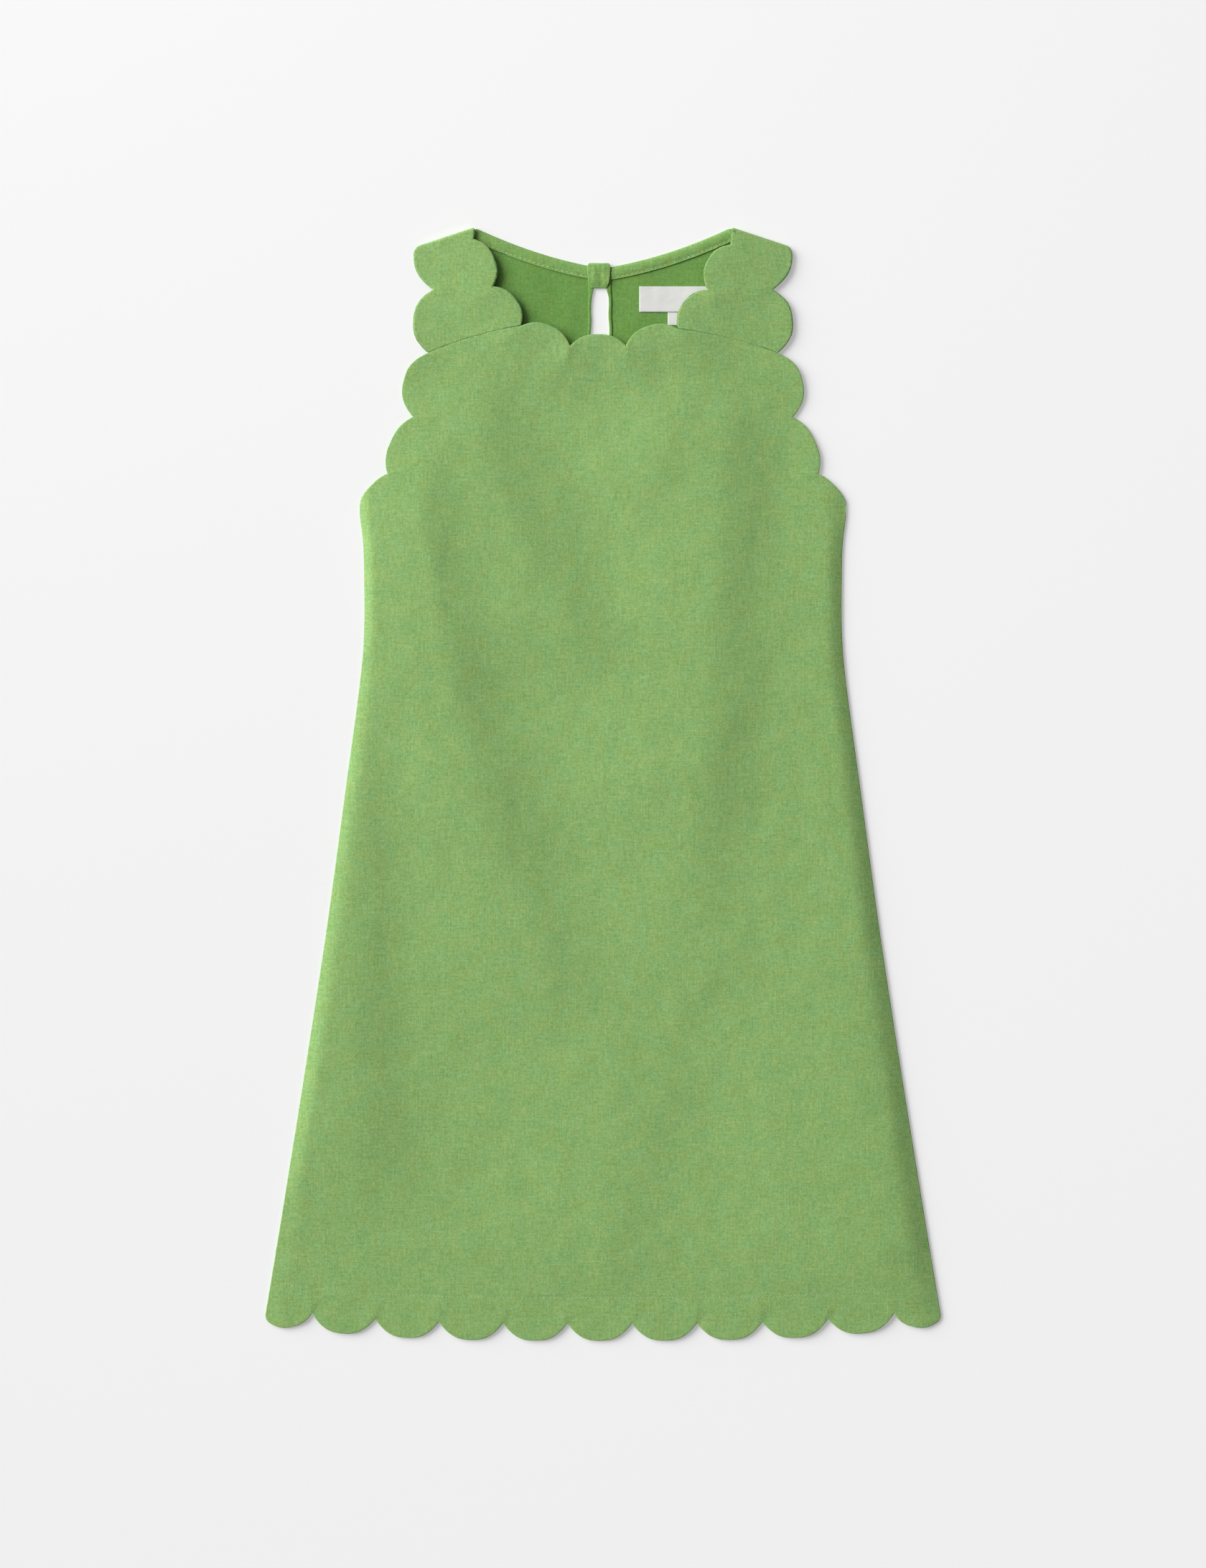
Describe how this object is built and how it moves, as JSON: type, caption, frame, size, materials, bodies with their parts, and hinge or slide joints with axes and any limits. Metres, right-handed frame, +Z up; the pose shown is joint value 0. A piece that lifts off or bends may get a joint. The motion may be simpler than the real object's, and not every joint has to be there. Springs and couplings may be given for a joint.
{
  "type": "shift dress",
  "caption": "Sleeveless green linen shift dress laid flat, with scalloped neckline, armholes and hem, and a keyhole with a tab at the back neck.",
  "frame": {"origin": "under the middle of the dress's bounding box, on the surface that the back lies on", "axes": "+X to the right as seen from above, which is the wearer's left; +Y towards the neck; +Z up, out of the front"},
  "size_m": [0.5808, 0.9599, 0.0057],
  "materials": {
    "linen": "matte heathered green linen, plain weave",
    "linen_inside": "matte green linen, inner face and bindings",
    "label": "off-white woven satin, blank"
  },
  "bodies": {
    "root": {"front": "linen", "back": "linen", "neck_binding_left": "linen_inside", "neck_binding_right": "linen_inside", "keyhole_binding": "linen_inside", "neck_tab": "linen", "label": "label", "size_tag": "label"}
  },
  "joints": []
}
